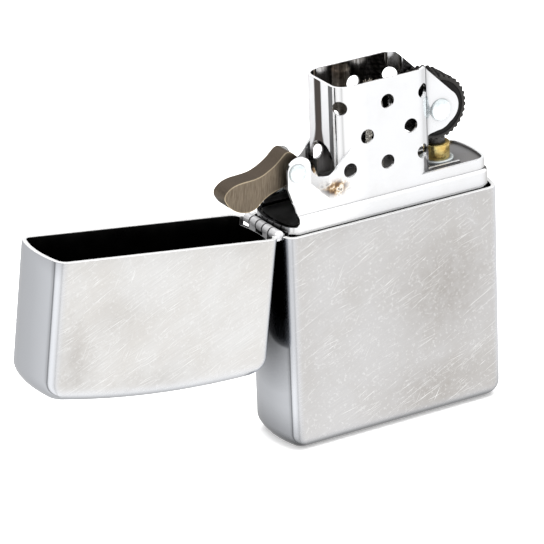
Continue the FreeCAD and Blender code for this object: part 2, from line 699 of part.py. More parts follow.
# ------------------------------------------------------------ wheel and rivets
WHEEL_PLACE = Placement(Vector(size["wheel_x"], 0, size["wheel_up"]), ACROSS)
CAM_PLACE = Placement(Vector(size["cam_x"], 0, size["cam_up"]), ACROSS)


def build_wheel():
    """A hub with a toothed rim, short of both its ends."""
    body = new_body("flint_wheel")
    bore = "Dims.axle_radius + Dims.running_gap"
    sk = new_sketch(body, "wheel_hub", start=-size["wheel_half_width"])
    circle(sk, 0, 0, "Dims.wheel_radius - Dims.tooth_depth", "_rim")
    circle(sk, 0, 0, bore, "_bore")
    pad(body, "wheel_hub", sk, "2 * Dims.wheel_half_width")

    sk = new_sketch(body, "wheel_rim", start=size["rim_inset"] - size["wheel_half_width"])
    circle(sk, 0, 0, bore)
    crest, teeth = size["wheel_radius"], size["wheel_teeth"]
    root = crest - size["tooth_depth"]
    rim = []
    for i in range(teeth):
        # one tooth: (part of a pitch, radius) for a flat crest and the gap after it
        for turn, radius in ((-0.30, crest), (0.06, crest), (0.38, root)):
            angle = 2 * math.pi * (i + turn) / teeth
            rim.append(Vector(radius * math.cos(angle), radius * math.sin(angle), 0))
    sk.addGeometry([Part.LineSegment(a, b) for a, b in zip(rim, rim[1:] + rim[:1])], False)
    pad(body, "wheel_teeth_rim", sk, "2 * (Dims.wheel_half_width - Dims.rim_inset)")
    body.Placement = WHEEL_PLACE
    return body


def rivet(name, half_length, shank, head, where):
    """A shank with a low, faceted dome on each end, about its own Z axis."""
    under, end = half_length + 0.02, half_length + size["head_height"]
    dome = [(head, under), (head * 0.93, under + (end - under) * 0.5),
            (head * 0.6, under + (end - under) * 0.85), (head * 0.2, end), (0, end)]
    upper = [(shank, under)] + dome
    return turned(name, [(r, -z) for r, z in reversed(upper)] + upper, where)


# ------------------------------------------------------------------------- cam
# (x, z) points on the cam's smooth closed outline
CAM = [
    (-13.45, 44.2), (-14.2, 45.45), (-15.35, 46.0), (-16.6, 45.15), (-18.4, 43.93),
    (-20.1, 43.22), (-21.8, 43.02), (-23.5, 42.94), (-25.2, 42.42), (-26.1, 41.4),
    (-25.65, 40.0), (-24.3, 38.75), (-22.3, 38.15), (-21.0, 38.42), (-19.7, 39.42),
    (-18.1, 40.24), (-16.5, 40.68), (-15.2, 41.05), (-13.7, 41.35), (-12.95, 42.6)]


def build_cam():
    body = new_body("cam")
    sk = new_sketch(body, "cam_plate", "XZ", "-Dims.cam_half_width")
    curve = Part.BSplineCurve()
    curve.interpolate([Vector(x, z, 0) for x, z in CAM], PeriodicFlag=True)
    sk.addGeometry(curve, False)
    pad(body, "cam_plate", sk, "2 * Dims.cam_half_width")
    drill_across(body, "cam_bore", "Dims.cam_x", "Dims.cam_up",
                 "Dims.cam_axle_radius + Dims.running_gap")
    return body


# ------------------------------------------------------------------ cam spring
SPRING_BASE = size["well_floor"] + size["plate_thick"] + size["cam_spring_gap"]
SPRING_THICK = size["cam_spring_thick"]
# (x, z) bends of the leaf's middle line, from its riveted foot to its free end
SPRING_PATH = [
    (-9.7, SPRING_BASE + SPRING_THICK / 2), (-12.9, SPRING_BASE + SPRING_THICK / 2),
    (-13.6, 38.0), (-12.9, 39.6), (-13.9, 40.7), (-15.0, 39.6)]


def thickened(path, thick):
    """The closed outline of a strip along a bent middle line, mitred at the bends."""
    points = [Vector(*p) for p in path]
    along = [(b - a).normalize() for a, b in zip(points, points[1:])]
    one_side, other_side = [], []
    for i, point in enumerate(points):
        before = along[max(i - 1, 0)]
        after = along[min(i, len(along) - 1)]
        middle = (before + after).normalize()
        shift = Vector(-middle.y, middle.x, 0) * (thick / 2 / middle.dot(before))
        one_side.append((point.x + shift.x, point.y + shift.y))
        other_side.append((point.x - shift.x, point.y - shift.y))
    return one_side + other_side[::-1]


def build_cam_spring():
    body = new_body("cam_spring")
    sk = profile(body, "cam_spring_leaf", "XZ", "-Dims.cam_spring_half_width",
                 thickened(SPRING_PATH, SPRING_THICK))
    pad(body, "cam_spring_leaf", sk, "2 * Dims.cam_spring_half_width")
    sk = new_sketch(body, "cam_spring_hole", start=SPRING_BASE - 0.5)
    circle(sk, "Dims.spring_rivet_x", 0, "Dims.spring_rivet_hole")
    cut(body, "cam_spring_hole", sk, 2.0)
    return body


def build_spring_rivet():
    """A rivet through the well's floor and the spring's foot."""
    bottom, top = size["well_floor"], SPRING_BASE + SPRING_THICK
    head, shank = 0.75, size["spring_rivet_hole"] - 0.01
    return turned("cam_spring_rivet", [
        (0, bottom - 0.3), (head, bottom - 0.3), (head, bottom - 0.01), (shank, bottom - 0.01),
        (shank, top + 0.01), (head, top + 0.01), (0.7, top + 0.16), (0.45, top + 0.31),
        (0.15, top + 0.36), (0, top + 0.36)], at_x(size["spring_rivet_x"]))


# ------------------------------------------------------- wick, felt and cotton
def build_wick():
    x, bottom = size["wick_x"], size["wick_bottom"]
    rope = cylinder("wick_round", "Dims.wick_radius", "Dims.wick_top - Dims.wick_bottom",
                    Vector(x, 0, bottom))
    bore = cylinder("wick_bore", "Dims.wire_radius + Dims.wire_gap",
                    "Dims.wick_top - Dims.wick_bottom + 2", Vector(x, 0, bottom - 1))
    return part("Cut", "wick", Base=rope, Tool=bore)


def build_wick_wire():
    return cylinder("wick_wire", "Dims.wire_radius",
                    "Dims.wick_top - Dims.wick_bottom - 2 * Dims.wire_end_gap",
                    Vector(size["wick_x"], 0, size["wick_bottom"] + size["wire_end_gap"]))


# holes down through the soft blocks: x and radius
SCREW_HOLE = ("Dims.tube_x", "Dims.screw_head_radius + 0.2")
TUBE_HOLE = ("Dims.tube_x", "Dims.tube_radius + Dims.pack_gap")
WICK_HOLE = ("Dims.wick_x", "Dims.wick_radius + Dims.pack_gap")


def soft_block(name, bottom, height, *holes):
    """A block that fills the insert's plan, with holes right through."""
    body = new_body(name)
    sk = outline(body, name + "_outline", INSERT_PLAN, "Dims.sheet + Dims.pack_gap", bottom)
    pad(body, name + "_block", sk, height)
    sk = new_sketch(body, name + "_holes", start=bottom)
    for i, (x, radius) in enumerate(holes):
        circle(sk, x, 0, radius, str(i))
    cut(body, name + "_holes", sk, height)
    return body


# ------------------------------------------------------------- build and write
pieces = [
    build_case(),
    hinge_leaf("hinge_leaf_case", -1, (0, 2, 4), "Dims.pin_radius"),
    build_lid_leaf(),
    build_hinge_pin(),
    build_lid(),
    build_insert_shell(),
    build_top_plate(),
    build_flint_tube(),
    build_washer(),
    build_flint(),
    build_spring_tip(),
    build_flint_screw(),
    build_flint_spring(),
    build_wheel(),
    rivet("wheel_rivet", WHEEL_EAR_Y, size["axle_radius"], size["wheel_head_radius"],
          WHEEL_PLACE),
    rivet("cam_rivet", CAM_EAR_Y, size["cam_axle_radius"], size["cam_head_radius"], CAM_PLACE),
    build_cam(),
    build_cam_spring(),
    build_spring_rivet(),
    build_wick(),
    build_wick_wire(),
    soft_block("felt_pad", size["felt_bottom"], "Dims.felt_thick", SCREW_HOLE),
    soft_block("cotton_lower", 4.1, 9.8, TUBE_HOLE),
    soft_block("cotton_middle", 14.05, 10.2, TUBE_HOLE, WICK_HOLE),
    soft_block("cotton_upper", 24.4, 10.2, TUBE_HOLE, WICK_HOLE),
]

doc.recompute()
for obj in doc.Objects:
    if any(flag in obj.State for flag in ("Invalid", "Error")):
        raise RuntimeError("%s: %s" % (obj.Name, obj.State))
for piece in pieces:
    shape = piece.Shape
    if shape.isNull() or not shape.isValid() or not shape.Solids:
        raise RuntimeError("%s has no valid solid" % piece.Label)
    if any(solid.Volume <= 0 for solid in shape.Solids):
        raise RuntimeError("%s is inside out" % piece.Label)

os.makedirs("parts", exist_ok=True)
for piece in pieces:
    piece.Shape.exportStep("parts/%s.step" % piece.Label)
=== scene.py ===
# A pocket lighter with its lid swung open: a chromed case and lid on a hinge, and inside
# them an insert with chimney, cam, flint wheel, wick and packing. It stands on z = 0
# with its width along x, its depth along y, the hinge on the -x side and its front
# towards -y.
import bpy, bmesh, math
import numpy as np
from mathutils import Vector, Matrix


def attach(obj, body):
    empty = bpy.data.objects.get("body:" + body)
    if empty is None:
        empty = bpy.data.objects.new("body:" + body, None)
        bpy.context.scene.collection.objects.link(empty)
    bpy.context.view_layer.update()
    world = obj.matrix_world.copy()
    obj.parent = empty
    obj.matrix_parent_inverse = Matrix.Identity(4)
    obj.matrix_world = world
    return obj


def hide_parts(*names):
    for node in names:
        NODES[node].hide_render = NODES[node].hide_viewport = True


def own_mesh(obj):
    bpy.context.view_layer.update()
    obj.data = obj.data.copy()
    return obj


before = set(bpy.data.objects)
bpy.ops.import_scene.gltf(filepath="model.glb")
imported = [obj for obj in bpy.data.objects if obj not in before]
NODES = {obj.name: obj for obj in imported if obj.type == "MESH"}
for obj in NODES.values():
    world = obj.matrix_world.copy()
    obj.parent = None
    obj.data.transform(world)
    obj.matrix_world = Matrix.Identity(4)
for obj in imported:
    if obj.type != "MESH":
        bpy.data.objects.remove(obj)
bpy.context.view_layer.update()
MM = 0.001

# Case and lid
HALF_WIDTH, HALF_DEPTH = 19.05, 6.35
END_RADIUS = 17.6               # the bulge of the two narrow sides
WALL = 0.7
HINGE_X, HINGE_Z = -18.98, 34.65
HINGE_NOTCH = 4.6               # half length of the notch in both rims
NOTCH_DROP = 1.07               # from the hinge axis to the notched rim
CASE_RIM, LID_RIM = 34.4, 34.5
LID_ANGLE = 172.17              # degrees the lid is open
LID_TOP, LID_CROWN = 57.15, 1.43  # height of the closed lid, and its fall to the sides


# ------------------------------------------------------------- shader graphs
def operator(kind, swapped=False):
    """An arithmetic operator that adds one Math node."""
    def apply(self, other):
        pair = (other, self) if swapped else (self, other)
        return self.graph.math(kind, *pair)
    return apply


class Value:
    """A node's output, which can be used in arithmetic."""

    def __init__(self, graph, socket):
        self.graph = graph
        self.socket = socket

    __add__ = operator("ADD")
    __radd__ = operator("ADD", swapped=True)
    __sub__ = operator("SUBTRACT")
    __rsub__ = operator("SUBTRACT", swapped=True)
    __mul__ = operator("MULTIPLY")
    __truediv__ = operator("DIVIDE")
    __pow__ = operator("POWER")
    __gt__ = operator("GREATER_THAN")
    __lt__ = operator("LESS_THAN")
    max = operator("MAXIMUM")

    def __abs__(self):
        return self.graph.math("ABSOLUTE", self)

    def clamp(self):
        """Hold the Math node behind this value to 0..1."""
        self.socket.node.use_clamp = True
        return self


def rgba(colour):
    if isinstance(colour, (int, float)):
        return (colour, colour, colour, 1)
    return tuple(colour) + (1,)


class Graph:
    """A node tree, built one output at a time."""

    def __init__(self, tree):
        self.tree = tree
        self.left = 0

    def feed(self, socket, value):
        """Link a Value into a socket, or set the socket to a number or colour."""
        if isinstance(value, Value):
            self.tree.links.new(value.socket, socket)
        elif socket.type == "RGBA":
            socket.default_value = rgba(value)
        else:
            socket.default_value = value

    def value(self, kind, output, inputs=None, **settings):
        """Add a node and return one of its outputs."""
        node = self.tree.nodes.new("ShaderNode" + kind)
        self.left -= 180
        node.location = (self.left, 0)
        for name, setting in settings.items():
            setattr(node, name, setting)
        for name, given in (inputs or {}).items():
            self.feed(node.inputs[name], given)
        return Value(self, node.outputs[output])

    def math(self, operation, *operands):
        return self.value("Math", 0, dict(enumerate(operands)), operation=operation)

    def parts(self, vector):
        """The x, y and z of a vector."""
        first = self.value("SeparateXYZ", 0, {0: vector})
        return [Value(self, output) for output in first.socket.node.outputs]

    def mix(self, factor, under, over, mode="MIX"):
        # a Mix node's colour sockets are inputs 6 and 7 and output 2
        return self.value("Mix", 2, {0: factor, 6: under, 7: over},
                          data_type="RGBA", blend_type=mode)

    def paint(self, under, over, mask, amount):
        """Lay one colour over another where the mask is 1, at the given strength."""
        return self.mix(mask * amount, under, over)

    def ramp(self, value, stops):
        colour = self.value("ValToRGB", "Color", {"Fac": value})
        elements = colour.socket.node.color_ramp.elements
        while len(elements) > 1:
            elements.remove(elements[-1])
        elements[0].position = stops[0][0]
        elements[0].color = rgba(stops[0][1])
        for position, stop in stops[1:]:
            elements.new(position).color = rgba(stop)
        return colour

    def rise(self, value, start, end, low=0, high=1):
        return self.ramp(value, [(start, low), (end, high)])

    def fall(self, value, start, end):
        return self.rise(value, start, end, low=1, high=0)


class Material(Graph):
    def __init__(self, name):
        self.material = bpy.data.materials.new(name)
        self.material.use_nodes = True
        super().__init__(self.material.node_tree)

    def set(self, **inputs):
        """Feed the Principled shader; underscores stand for spaces."""
        shader = self.tree.nodes["Principled BSDF"]
        for name, value in inputs.items():
            self.feed(shader.inputs[name.replace("_", " ")], value)

    def axis(self, which):
        """One axis of the place on the piece, in metres."""
        return self.parts(self.value("TexCoord", "Object"))["XYZ".index(which)]

    def normal(self, which):
        return self.parts(self.value("NewGeometry", "Normal"))["XYZ".index(which)]

    def noise(self, per_metre, detail, rough=0.5, distortion=0.0, turn=0.0, shift=None):
        """Noise with so many cells per metre, turned about y by radians, then shifted."""
        if isinstance(per_metre, (int, float)):
            per_metre = (per_metre,) * 3
        place = self.value("TexCoord", "Object")
        if turn:
            place = self.value("Mapping", "Vector", {"Vector": place, "Rotation": (0, turn, 0)})
        place = self.value("Mapping", "Vector", {"Vector": place, "Scale": per_metre})
        if shift:
            place = self.value("VectorMath", 0, {0: place, 1: shift}, operation="ADD")
        return self.value("TexNoise", "Fac", {
            "Vector": place, "Scale": 1.0, "Detail": detail,
            "Roughness": rough, "Distortion": distortion})

    def spot(self, x, z, radius_x, radius_z, falloff=1.0):
        """A soft round patch on the broad faces, 0..1; sizes in mm."""
        across = (self.axis("X") - x * MM) / (radius_x * MM)
        along = (self.axis("Z") - z * MM) / (radius_z * MM)
        return self.math("EXPONENT", (across * across + along * along) * -falloff)

    def bump(self, height, strength, distance):
        return self.value("Bump", "Normal", {
            "Strength": strength, "Distance": distance, "Height": height})

    def ao_dark(self, colour, reach, power):
        """Painted shade: darken the colour in corners, by ambient occlusion."""
        openness = self.value("AmbientOcclusion", "AO", {"Distance": reach}, samples=6)
        if power != 1.0:
            openness = openness ** power
        return self.mix(1.0, colour, openness, "MULTIPLY")

    def scratches(self, angle, seed, long_mm, wide_mm, cut, patch_mm, patch_cut):
        """Short straight scratches, 0..1: stretched noise cut off high, kept in patches."""
        streaks = self.noise((1000 / long_mm, 400, 1000 / wide_mm), detail=1.0,
                             turn=math.radians(angle), shift=(seed, seed * 1.7, seed * 2.3))
        line = self.rise(streaks, cut, cut + 0.05)
        patches = self.noise(1000 / patch_mm, detail=2.0)
        return line * self.rise(patches, patch_cut - 0.06, patch_cut + 0.06)


def scaled(colour, factor):
    return tuple(min(1, channel * factor) for channel in colour)


def between(value, low, high):
    return (value > low) * (value < high)


def fade(distance, length):
    """0 at no distance, 1 from the given length on."""
    return (distance / length).clamp()


# ---------------------------------------------------------------- materials
WHITE = (1.0, 1.0, 1.0)
SCRATCH_AND_SHEEN_WHITE = (1.0, 1.0, 0.99)

# angle in degrees, seed, length mm, width mm, cut, patch mm, patch cut
CASE_SCRATCHES = [
    (21, 1.3, 7.0, 0.12, 0.675, 6.0, 0.54),
    (29, 7.7, 4.5, 0.11, 0.68, 4.0, 0.55),
    (12, 4.1, 5.5, 0.12, 0.69, 6.0, 0.55),
    (62, 2.9, 4.0, 0.11, 0.71, 7.0, 0.57),
    (27, 12.3, 16.0, 0.12, 0.70, 9.0, 0.50),
]
# worn patches: x, z, radius in x, radius in z (mm), strength
CASE_WEAR = [(8.5, 20.5, 7.5, 8.0, 0.62), (6.5, 4.5, 8.5, 4.5, 0.50),
             (-16.0, 12.0, 3.0, 14.0, 0.15)]
LID_WEAR = [(-54.5, 24.0, 3.5, 7.0, 0.42), (-43.0, 17.0, 8.0, 3.0, 0.36),
            (-47.0, 29.0, 6.0, 4.0, 0.20), (-25.0, 35.0, 5.0, 2.5, 0.15)]


def case_metal(name, tone, warm, wear):
    """Scratched chrome: soft and cloudy on the broad faces, polished on the sides."""
    mat = Material(name)
    broad = abs(mat.normal("Y")) ** 6.0  # 1 on the broad faces
    cloud = mat.noise((95, 95, 80), detail=5.0, rough=0.62, distortion=0.4)
    mottle = mat.noise(620, detail=4.0, rough=0.7)
    fine = mat.noise(2300, detail=3.0, rough=0.6)
    runs = [mat.scratches(*row) for row in CASE_SCRATCHES]
    scratch = runs[0].max(runs[1]).max(runs[2].max(runs[3].max(runs[4])))
    scratch = scratch * mat.rise(cloud, 0.30, 0.55, low=0.45)
    brushed = mat.noise((220, 400, 6500), detail=3.0, turn=math.radians(20))
    face = mat.mix(mat.rise(cloud, 0.42, 0.66), tone, warm)

    # painted light: paler towards -x in the scene, most of all beyond the hinge
    scene_x = mat.parts(mat.value("NewGeometry", "Position"))[0]
    painted_light_sweep = fade(scene_x + 0.019, length=0.022)
    face = mat.paint(face, WHITE, 1.0 - painted_light_sweep, amount=0.10)
    beside = fade(-0.0188 - scene_x, length=0.0015)
    # painted light: the lid beyond the hinge is whitened, in the same white as the scratches
    face = mat.paint(face, SCRATCH_AND_SHEEN_WHITE, beside, amount=0.335)
    face = mat.paint(face, scaled(tone, 0.72), mat.fall(brushed, 0.35, 0.7), amount=0.16)

    marked = None
    for *place, strength in wear:
        patch = mat.spot(*place) * strength
        marked = patch if marked is None else marked.max(patch)
    marked = marked * mat.rise(mottle, 0.30, 0.62, low=0.45)
    face = mat.mix(marked, face, (0.36, 0.33, 0.30))
    glints = mat.rise(fine, 0.56, 0.70)
    face = mat.paint(face, WHITE, glints, amount=0.30)
    dust = mat.rise(mottle, 0.66, 0.74)
    face = mat.paint(face, (0.40, 0.37, 0.34), dust, amount=0.25)

    side = mat.paint((0.83, 0.85, 0.89), (0.72, 0.74, 0.79), cloud, amount=0.5)
    colour = mat.mix(broad, side, face)
    colour = mat.paint(colour, SCRATCH_AND_SHEEN_WHITE, scratch * broad, amount=0.85)
    # painted shade on the sides: ambient occlusion darkens corners and the wedge between case
    # and lid
    colour = mat.mix(broad, mat.ao_dark(colour, reach=0.007, power=1.5), colour)

    # sides stay smooth; the broad faces add haze, grain and wear
    rough = 0.10 + broad * (0.16 + fine * 0.12)
    rough = rough + marked * 0.12
    # grain and wear stand up, scratches cut in
    height = fine * 0.4 + scratch * -0.7
    height = height + (marked * mottle) * 1.2

    # the cut rim is a paler, less metallic band
    z = mat.axis("Z")
    rim = (mat.normal("Z") > 0.55) * between(z, low=0.0342, high=0.0405)
    colour = mat.mix(rim, colour, (0.62, 0.62, 0.62))
    mat.set(Base_Color=colour, Metallic=1.0 - rim * 0.8, Roughness=rough,
            Normal=mat.bump(height * broad, strength=0.30, distance=0.00004))
    return mat.material


def steel(name, base, rough, stain, stain_amount, stain_scale=180, brushed=0.0,
          ao_reach=0.0, ao_power=1.0, bump=0.05, shades=None, lift=None):
    """Polished sheet or bar. shades(mat, colour) adds local marks and painted light and shade;
    lift(mat) is where the metal turns paler and less mirror-like."""
    mat = Material(name)
    cloud = mat.noise(stain_scale, detail=4.0, rough=0.65)
    colour = mat.paint(base, stain, mat.rise(cloud, 0.45, 0.75), stain_amount)
    height = grain = mat.noise(2600, detail=2.0)
    roughness = rough + (cloud - 0.4) * 0.12
    if brushed:
        brush = mat.noise((300, 12000, 6000), detail=3.0, rough=0.7)
        colour = mat.paint(colour, scaled(base, 0.55), brush, brushed)
        roughness = roughness + brush * 0.18
        height = grain + brush
    scratch = mat.scratches(angle=25, seed=2.2, long_mm=1.0, wide_mm=0.06, cut=0.68,
                            patch_mm=4.0, patch_cut=0.5)
    colour = mat.paint(colour, scaled(base, 1.25), scratch, amount=0.35)
    if shades:
        colour = shades(mat, colour)
    # painted shade in corners, by ambient occlusion
    if ao_reach:
        colour = mat.ao_dark(colour, ao_reach, ao_power)
    mat.set(Base_Color=colour, Metallic=1.0, Roughness=roughness,
            Normal=mat.bump(height, bump, distance=0.00002))
    if lift:
        # math() is spelled out because lift may return a plain number
        loss = mat.math("MULTIPLY", lift(mat), 0.85)
        mat.set(Metallic=mat.math("SUBTRACT", 1.0, loss))
    return mat.material


# Heights on the insert, in metres, that bound its marks
WALL_FOOT = 0.0392      # lowest part of the marks on the chimney's end wall and cam ear
INSERT_TOP = 0.0386     # painted shade inside the chimney above, the darker +x end below


def end_reflection_distance(mat, y, z, half_width):
    """Distance from the middle of the painted dark reflection band on the end wall, as a share
    of its half width; the band spreads downwards."""
    down = fade(0.0480 - z, length=0.006)
    half = half_width + (down * down) * 0.0032
    return abs(y - 0.0006) / half


def insert_shades(mat, colour):
    """Painted reflections, shade and highlights: dark band and strip on the end wall, shaded
    seam, insides and hinge end, a darker +x end, golden reflection in the fold, white front by
    the cam and +y ear.
    """
    x, y, z = map(mat.axis, "XYZ")
    normal_x = mat.normal("X")
    wall = mat.rise(normal_x * -1.0, 0.75, 0.93) * (z > WALL_FOOT)
    # painted reflection: a dark brown band down the end wall, widening towards its foot
    band = wall * mat.fall(end_reflection_distance(mat, y, z, half_width=0.0010), 0.75, 1.25)
    end_wall_reflection = mat.mix(mat.noise((700, 700, 160), detail=3.0),
                    (0.008, 0.005, 0.003), (0.09, 0.05, 0.025))
    colour = mat.paint(colour, end_wall_reflection, band, amount=0.93)
    # painted shade: a near-black strip on the front part of the end wall
    end_wall_front_shade = wall * (y * -1.0 > 0.0024)
    colour = mat.paint(colour, (0.03, 0.03, 0.03), end_wall_front_shade, amount=0.9)

    # painted shade along the thin upright seam on the front, where the wall bends, measured in
    # mm from its middle
    seam_shade = mat.fall(abs(x - 0.0072) * 1000.0, 0.05, 0.17)
    seam_shade = seam_shade * ((z > 0.0389) * (y < -0.003))
    colour = mat.paint(colour, (0.03, 0.03, 0.035), seam_shade, amount=0.9)

    # the +x end, below the top, is painted darker
    end = fade(x - 0.0160, length=0.0015) * (z < INSERT_TOP)
    colour = mat.paint(colour, (0.50, 0.47, 0.43), end, amount=0.55)

    # painted reflection: golden-brown, in the fold beside the cam
    fold_reflection = mat.spot(x=-9.3, z=40.1, radius_x=2.1, radius_z=1.35, falloff=1.1)
    fold_reflection = fold_reflection * (mat.normal("Y") < -0.2)
    fold_reflection = (fold_reflection * 1.35).clamp()
    gold_reflection = mat.ramp(mat.noise(900, detail=3.0, turn=0.4), [
        (0.36, (0.05, 0.025, 0.01)), (0.46, (0.20, 0.11, 0.045)), (0.53, (0.55, 0.38, 0.20)),
        (0.60, (0.98, 0.93, 0.84)), (0.68, (0.12, 0.07, 0.03))])
    colour = mat.paint(colour, gold_reflection, fold_reflection, amount=0.95)

    # painted shade on the inner faces of the chimney, with painted reflection streaks down the
    # sheet
    inside = (abs(y) < 0.00475) * (z > INSERT_TOP)
    inside = inside * between(x, low=-0.0062, high=0.0057)
    inside = inside.max((normal_x > 0.3) * ((x < -0.0060) * (z > INSERT_TOP)))
    streaks = mat.noise((700, 700, 60), detail=4.0, rough=0.7)
    chimney_shade = mat.ramp(streaks, [(0.34, 0.015), (0.50, 0.10), (0.58, 0.55), (0.66, 0.06)])
    chimney_shade = mat.mix(0.35, chimney_shade, (0.16, 0.13, 0.10))
    colour = mat.paint(colour, chimney_shade, inside, amount=0.92)

    # painted shade: upward faces at the hinge end are near black
    hinge_end_shade = (x < -0.0159) * (mat.normal("Z") > 0.3)
    colour = mat.paint(colour, (0.015, 0.015, 0.016), hinge_end_shade, amount=0.97)

    # painted highlight: the front is painted white beside the cam, except on the fold
    # reflection
    near = fade(-0.0035 - x, length=0.006)
    front = mat.normal("Y") < -0.3
    colour = mat.mix((near * front) * (0.85 - fold_reflection).clamp(), colour, WHITE)
    # painted highlight: the cam ear on the +y side is painted near white
    return mat.mix(back_ear(mat), colour, (0.97, 0.97, 0.97))


def back_ear(mat):
    """1 on the cam ear on the +y side."""
    ear = (mat.axis("Y") > 0.0026) * (mat.axis("X") < -0.0087)
    return ear * (mat.axis("Z") > WALL_FOOT)


def insert_lift(mat):
    """The front and back ledges, the -x edge, the cam ear, the tops and the end wall."""
    z = mat.axis("Z")
    ledge = (abs(mat.axis("Y")) > 0.00497) * (mat.normal("Z") > 0.12)
    ledge = ledge * between(z, low=0.0362, high=0.0380)
    top = (mat.normal("Z") > 0.55) * (z > 0.0385)
    wall = (mat.normal("X") < -0.9) * ((z > WALL_FOOT) * (mat.axis("X") < -0.0080))
    edge = (mat.normal("X") < -0.5) * (mat.axis("X") < -0.0150)
    edge = edge * (z > 0.0375)
    bright = ledge.max(edge).max(back_ear(mat))
    reflection_distance = end_reflection_distance(mat, mat.axis("Y"), z, half_width=0.0011)
    wall = wall * mat.rise(reflection_distance, 0.8, 1.0)
    # tops and wall are lifted less than the rest
    return bright.max(top * 0.75).max(wall * 0.7)


def plate_shades(mat, colour):
    """Painted shade: the top plate is painted near black at its -x end."""
    return mat.paint(colour, (0.02, 0.02, 0.02), mat.axis("X") < -0.0090, amount=0.95)


def hinge_shades(mat, colour):
    """Dark joints between the hinge barrels."""
    y = mat.axis("Y")
    gaps = None
    for joint in (-2.7, -0.9, 0.9, 2.7):
        gap = mat.fall(abs(y - joint * MM) * 1000.0, 0.10, 0.19)  # measured in mm
        gaps = gap if gaps is None else gaps.max(gap)
    gaps = gaps * (mat.axis("Z") > 0.0338)
    return mat.paint(colour, (0.01, 0.01, 0.01), gaps, amount=0.96)


def hinge_lift(mat):
    """The barrels, at about half strength."""
    return (mat.axis("Z") > 0.0336) * 0.55


def rivet_lift(mat):
    """The same all over."""
    return 0.62


# painted shade: the insides of case and lid are near black, faintly mottled
def dark_inside(name):
    mat = Material(name)
    inside_mottle = mat.noise(400, detail=4.0)
    mat.set(Base_Color=mat.mix(inside_mottle, (0.012, 0.012, 0.013), (0.05, 0.048, 0.045)),
            Metallic=1.0, Roughness=0.22 + inside_mottle * 0.15,
            Normal=mat.bump(inside_mottle, strength=0.1, distance=0.00005))
    return mat.material


def cam_metal(name):
    """Brown bronze with upright grain, painted darker on top as shade and painted bright on its
    edges as a highlight.
    """
    mat = Material(name)
    grain = mat.noise((7500, 7500, 550), detail=4.0, rough=0.7, turn=math.radians(-6))
    cloud = mat.noise(260, detail=3.0)
    normal = mat.value("NewGeometry", "Normal")
    upward = mat.rise(mat.parts(normal)[2], 0.45, 0.8)
    colour = mat.mix(mat.rise(grain, 0.3, 0.7), (0.11, 0.085, 0.058), (0.31, 0.25, 0.18))
    colour = mat.paint(colour, (0.18, 0.15, 0.12), cloud, amount=0.35)
    # painted shade on the upward faces
    colour = mat.paint(colour, (0.13, 0.10, 0.08), upward, amount=0.55)
    # edges are where a rounded normal turns away from the true one
    rounded = mat.value("Bevel", 0, {"Radius": 0.00035}, samples=6)
    match = mat.value("VectorMath", "Value", {0: rounded, 1: normal},
                      operation="DOT_PRODUCT")
    # painted highlight along the edges, in patches
    marked = mat.rise(1.0 - match, 0.02, 0.16) * mat.rise(cloud, 0.30, 0.55, low=0.35)
    colour = mat.paint(colour, (0.86, 0.72, 0.50), marked, amount=0.85)
    # painted shade in the corners, by ambient occlusion
    colour = mat.ao_dark(colour, reach=0.004, power=1.0)
    mat.set(Base_Color=colour, Metallic=0.85, Roughness=0.33 + grain * 0.2,
            Normal=mat.bump(grain, strength=0.25, distance=0.00003))
    return mat.material


def wheel_metal(name):
    """Near-black steel, paler on the teeth's edges."""
    mat = Material(name)
    grain = mat.noise(1800, detail=4.0)
    edge = mat.rise(mat.value("NewGeometry", "Pointiness"), 0.50, 0.56)
    colour = mat.mix(grain, (0.006, 0.006, 0.006), (0.024, 0.022, 0.022))
    colour = mat.paint(colour, (0.10, 0.095, 0.09), edge, amount=0.6)
    # painted shade in the grooves and corners, by ambient occlusion
    colour = mat.ao_dark(colour, reach=0.003, power=1.2)
    mat.set(Base_Color=colour, Metallic=0.70, Roughness=0.42 + grain * 0.2,
            Normal=mat.bump(grain, strength=0.3, distance=0.00005))
    return mat.material


def brass(name):
    mat = Material(name)
    cloud = mat.noise(420, detail=4.0, rough=0.6)
    turned = mat.noise((300, 300, 9000), detail=3.0)
    colour = mat.mix(mat.rise(cloud, 0.42, 0.62), (1.0, 0.84, 0.36), (0.70, 0.48, 0.15))
    mat.set(Base_Color=colour, Metallic=1.0, Roughness=0.14 + turned * 0.2,
            Normal=mat.bump(turned, strength=0.2, distance=0.00003))
    return mat.material


def fibre(name, pale, deep, scale, bump, charred=False):
    """Matt fluff, optionally charred at the wick's top."""
    mat = Material(name)
    fluff = mat.noise((scale, scale, scale * 0.5), detail=5.0, rough=0.75)
    cloud = mat.noise(300, detail=2.0)
    colour = mat.mix(fluff, pale, deep)
    colour = mat.paint(colour, scaled(pale, 0.8), cloud, amount=0.25)
    if charred:
        up = fade(mat.axis("Z") - 0.0485, length=0.003)
        char = up * mat.rise(cloud, 0.2, 0.6, low=0.6)
        colour = mat.mix(char, colour, (0.17, 0.125, 0.09))
    mat.set(Base_Color=colour, Metallic=0.0, Roughness=0.95, Sheen_Weight=0.4,
            Normal=mat.bump(fluff, bump, distance=0.00012))
    return mat.material


def flint_metal(name):
    mat = Material(name)
    grain = mat.noise(900, detail=5.0, rough=0.7)
    mat.set(Base_Color=mat.mix(grain, (0.05, 0.05, 0.055), (0.16, 0.155, 0.15)),
            Metallic=0.6, Roughness=0.5 + grain * 0.2,
            Normal=mat.bump(grain, strength=0.3, distance=0.00004))
    return mat.material


